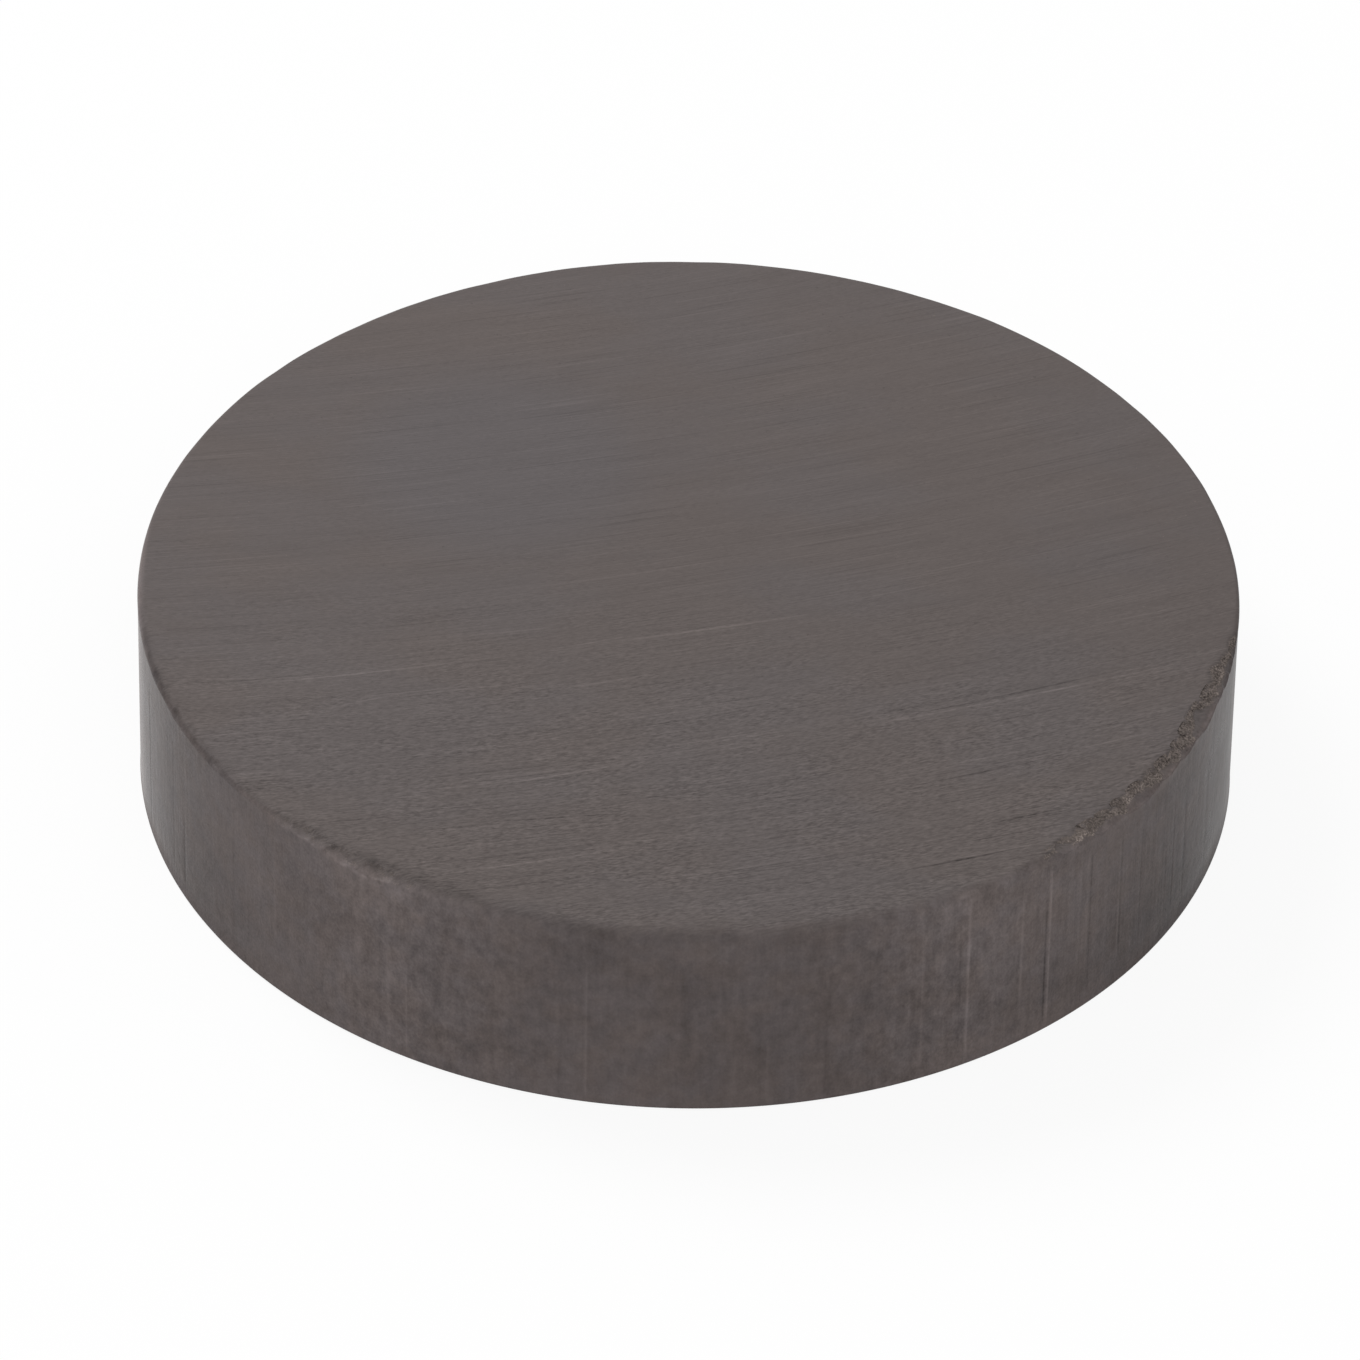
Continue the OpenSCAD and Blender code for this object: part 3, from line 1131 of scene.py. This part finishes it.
def pressed_wall(spot):
    """Colour, roughness and relief of the wall. The mottle is strongest half way between
    the front and the sides, and the scoring is strongest on the right. Towards the right end
    the colour is painted darker, painted shade in place of a weaker reflection, and then the
    skin is rougher. A narrow strip at the far left is painted pale, a painted sheen."""
    side = axis_of(spot, "X")
    off_front = math_of("ABSOLUTE", side)
    mottle_share = ramp(off_front, 2 * MM, 6 * MM, 0.62, 1.12)
    mottle_share = times(mottle_share, ramp(off_front, 6 * MM, 9.5 * MM, 1.0, 0.40))
    clouds = grain(spot, (1.7, 1.7, 1.4), 3, 0.6)
    mottle = grain(spot, (0.26, 0.26, 0.32), 3, 0.6)
    drawn = grain(spot, (0.12, 0.12, 3.0), 3, 0.6)
    specks = grain(spot, (0.055, 0.055, 0.07), 1, 0.5)
    light = total(
        1.0,
        swing(clouds, 0.45),
        swing(mottle, mottle_share),
        swing(drawn, ramp(side, 2 * MM, 8 * MM, 0.22, 0.38)),
        swing(specks, ramp(off_front, 2 * MM, 6.5 * MM, 0.26, 0.50)),
        times(stored("tone"), WALL_TONE),
        # painted shade: darker towards the right end, in place of a weaker reflection
        ramp(side, 8 * MM, 11.5 * MM, 0.0, -0.14),
        # painted sheen: a pale strip at the far left where the wall turns away
        ramp(side, -12.2 * MM, -12.45 * MM, 0.0, 0.6),
    )
    hue = ramp(grain(spot, 0.9, 3, 0.6), 0.35, 0.65)
    purplish, yellowish = clay(WALL_LIGHT, -0.018), clay(WALL_LIGHT * 0.98, 0.018)
    colour = scaled(blend(hue, purplish, yellowish), light)
    rough = math_of("MULTIPLY_ADD", clouds, 0.16, ramp(side, 11.5 * MM, 12.4 * MM, 0.18, 0.235))
    relief = total(times(drawn, 0.005), times(mottle, 0.010))
    return colour, rough, relief


# %% [markdown]
# ## The fracture
#
# Inside a chip the grains of the ferrite itself are bare. They make a rough, dull, faintly
# olive surface in which single crystal faces flash, so the finish has a coarse grain, a
# few very light specks that are painted glints, and dark gaps between the grains. Painted
# shade darkens it where it is hollow.

# %% The fracture
BROKEN_ROUGH = 0.62


def olive(light):
    """The colour of bare grains at a given lightness, as linear light."""
    return (light * 1.195, light, light * 0.905, 1.0)


def fracture(spot, grains):
    """Colour, roughness and relief of a broken surface. Below zero the stored tone darkens
    it with painted shade and dirt, and above zero it turns it, grain by grain, into a pale
    crystal face, a painted glint."""
    body = grain(spot, 0.20, 3, 0.65)
    pebbles = grain(spot, 0.10, 1, 0.5)
    flash = ramp(grain(spot, 0.045, 1, 0.5), 0.62, 0.72)
    sparkle = ramp(axis_of(spot, "X"), 8.5 * MM, 10.6 * MM, 1.5, 2.9)
    tone = stored("tone")
    # painted shade and dirt from the stored tone below zero, and painted shade where the scar is
    # hollow
    shade_and_dirt = times(math_of("MINIMUM", tone, 0.0), 0.4)
    dark = total(1.0, times(stored("hollow"), -0.15), shade_and_dirt)
    light = total(1.0, swing(body, 0.6), swing(grains, sparkle), swing(pebbles, 0.38))
    colour = scaled(blend(body, olive(0.106), olive(0.114)), times(light, dark))
    # painted glints: pale crystal faces and a few very light specks
    pale = times(math_of("MAXIMUM", tone, 0.0), ramp(grains, 0.42, 0.64, 0.10, 0.85))
    colour = blend(math_of("MAXIMUM", pale, times(flash, 0.45)), colour, olive(0.27))
    relief = total(times(body, 0.012), times(grains, 0.016))
    return colour, BROKEN_ROUGH, relief


# %% [markdown]
# ## Three materials from three finishes
#
# Most of the skin shows one finish only. Just along the rim do they meet: the wall takes
# over from the face across the rounded rim, and the fracture covers both where the
# surface is broken. So there are three materials, one for the plain face, one for the
# plain wall, and one that works out all three finishes and joins them by the numbers
# stored on the points. Where two materials meet, those numbers are 0 or 1, so no seam
# shows. The relief goes through a Bump node, with its height in millimetres.
#
# Dusty ferrite hardly mirrors anything. One low index of refraction says so for all three
# finishes, and it is a plain number because an exported model can't carry more than that.

# %% Make the materials
FERRITE_IOR = 1.10


def finish_with(colour, rough, relief):
    """Ends the graph in a Principled shader."""
    bump = add("ShaderNodeBump")
    for name, given in {"Strength": 1.0, "Distance": MM, "Height": relief}.items():
        fill(bump.inputs[name], given)
    surface = add("ShaderNodeBsdfPrincipled")
    looks = {"Base Color": colour, "Roughness": rough, "IOR": FERRITE_IOR, "Normal": bump.outputs[0]}
    for name, given in looks.items():
        fill(surface.inputs[name], given)
    add("ShaderNodeOutputMaterial", surface.outputs[0])


def object_place():
    """The place on the piece, from the object's own origin."""
    return add("ShaderNodeTexCoord").outputs["Object"]


face_finish = begin("ground_face")
finish_with(*ground_face(object_place()))
wall_finish = begin("pressed_wall")
finish_with(*pressed_wall(object_place()))

rim_finish = begin("worn_rim")
spot = object_place()
grains = grain(spot, 0.046, 1, 0.6)
clumps = grain(spot, 0.16, 3, 0.65)
share_broken = ramp(total(stored("broken"), swing(grains, 0.9), swing(clumps, 1.4)), 0.2, 0.95)
share_wall = stored("wall")
finishes = zip(ground_face(spot), pressed_wall(spot), fracture(spot, grains))
joined = []
for mix, (on_face, on_wall, in_scar) in zip((blend, mix_value, mix_value), finishes):
    joined.append(mix(share_broken, mix(share_wall, on_face, on_wall), in_scar))
finish_with(*joined)

for material in (face_finish, wall_finish, rim_finish):
    mesh.materials.append(material)

# %% [markdown]
# ## Which polygon gets which material
#
# The long material is needed where the carving went: on the outer ring of the face, over
# the rim, and down to where the bare grains end. The rest is plain face or plain wall,
# and there a short material looks the same and takes less work.

# %% Give each polygon its material
FACE, WALL, RIM = range(3)


def all_corners(good):
    """For each quad of the grid, whether its four corners are all good."""
    beside = np.roll(good, -1, axis=1)
    return (good[:-1] & good[1:] & beside[:-1] & beside[1:]).ravel()


sound = all_corners(~near_rim[:, None] | (is_bare == 0))
all_face, all_wall = all_corners(wallness == 0), all_corners(wallness == 1)
quad_kinds = np.select([sound & all_face, sound & all_wall], [FACE, WALL], RIM)
kinds = np.concatenate([quad_kinds, np.full(2 * columns, FACE)])
mesh.polygons.foreach_set("material_index", kinds.astype(np.int32))
mesh.update()
print("polygons of face, wall and rim:", np.bincount(kinds))

# %% [markdown]
# ## Floor
#
# The magnet lies on a pale table. The floor is an ordinary matt white that takes the
# magnet's shadow. Where the camera or a reflection looks at it, most of it is replaced by
# a plain white glow of strength 1, so it fades into a white background without any more
# light on the magnet.

# %% Floor
FLOOR_SIZE = 6.0
FLOOR_WHITE = 0.9
GLOW_SHARE = 0.90


def looked_at():
    """1 for rays from the camera and for reflected and refracted rays, otherwise 0."""
    ray = add("ShaderNodeLightPath").outputs
    mirrored = math_of("MAXIMUM", ray["Is Glossy Ray"], ray["Is Transmission Ray"])
    return math_of("MAXIMUM", ray["Is Camera Ray"], mirrored)


floor_mesh = bpy.data.meshes.new("floor")
half = FLOOR_SIZE / 2
corners = [(-half, -half, 0), (half, -half, 0), (half, half, 0), (-half, half, 0)]
floor_mesh.from_pydata(corners, [], [(0, 1, 2, 3)])
floor = put_in_scene("floor", floor_mesh)
paper = begin("floor_paper")
share = times(looked_at(), GLOW_SHARE)
matt = add("ShaderNodeBsdfDiffuse", (FLOOR_WHITE, FLOOR_WHITE, FLOOR_WHITE, 1.0)).outputs[0]
glow = add("ShaderNodeEmission", (1, 1, 1, 1), 1.0).outputs[0]
add("ShaderNodeOutputMaterial", add("ShaderNodeMixShader", share, matt, glow).outputs[0])
floor_mesh.materials.append(paper)
print(f"floor {FLOOR_SIZE:.0f} m wide")

# %% [markdown]
# ## Light
#
# Plain soft light: a bright room all round, a broad lamp above and behind to the left,
# and another above and in front. The room looks white, with a strength of 1, to the
# camera and in reflections, whatever strength it has as a lamp.

# %% World and lamps
ROOM_LIGHT = 0.5
world = bpy.data.worlds.new("room")
bpy.context.scene.world = world
world.use_nodes = True
tree = world.node_tree
tree.nodes.clear()
room = add("ShaderNodeBackground", (1, 1, 1, 1), mix_value(looked_at(), ROOM_LIGHT, 1.0)).outputs[0]
add("ShaderNodeOutputWorld", room)

# place in metres, width in metres, power in watts
LAMPS = {
    "key": ((-0.30, 0.26, 0.44), 0.30, 1.9),
    "fill": ((0.10, -0.40, 0.50), 0.60, 1.2),
}
for name, (place, size, power) in LAMPS.items():
    lamp = bpy.data.lights.new(name, "AREA")
    lamp.shape = "DISK"
    lamp.size = size
    lamp.energy = power
    holder = put_in_scene(name, lamp)
    holder.location = place
    holder.rotation_euler = (-Vector(place)).to_track_quat("-Z", "Y").to_euler()
    print(f"{name} lamp {size:.1f} m wide, {Vector(place).length:.2f} m away")

# %% [markdown]
# ## Camera
#
# A long lens from about a quarter of a metre away, looking down at 38 degrees and held
# very slightly crooked, as a hand-held camera is. Lengths are in millimetres.

# %% Camera
ELEVATION = math.radians(38.2)
ROLL = math.radians(-1.09)
DISTANCE = 258.6
LENS = 300.0
SENSOR = 36.0
# how far beside and above the middle of the disc the camera aims
AIM = (-0.155, -0.193)
back = Vector((0.0, -math.cos(ELEVATION), math.sin(ELEVATION)))
right = Vector((1.0, 0.0, 0.0))
up = back.cross(right)
middle = Vector((0.0, 0.0, THICKNESS / 2))
camera = put_in_scene("camera", bpy.data.cameras.new("camera"))
camera.data.lens = LENS
camera.data.sensor_width = SENSOR
camera.data.clip_start = 0.01
camera.data.clip_end = 20.0
turned = Matrix((right, up, back)).transposed() @ Matrix.Rotation(-ROLL, 3, "Z")
place = (middle + right * AIM[0] + up * AIM[1] + back * DISTANCE) * MM
camera.matrix_world = Matrix.Translation(place) @ turned.to_4x4()
print(f"camera {1000 * place.length:.0f} mm away")
bpy.context.scene.camera = camera
bpy.context.scene.view_settings.view_transform = "Standard"

# %% [markdown]
# ## The last step
#
# Last, the view layer is brought up to date.

# %% Update the view layer
bpy.context.view_layer.update()
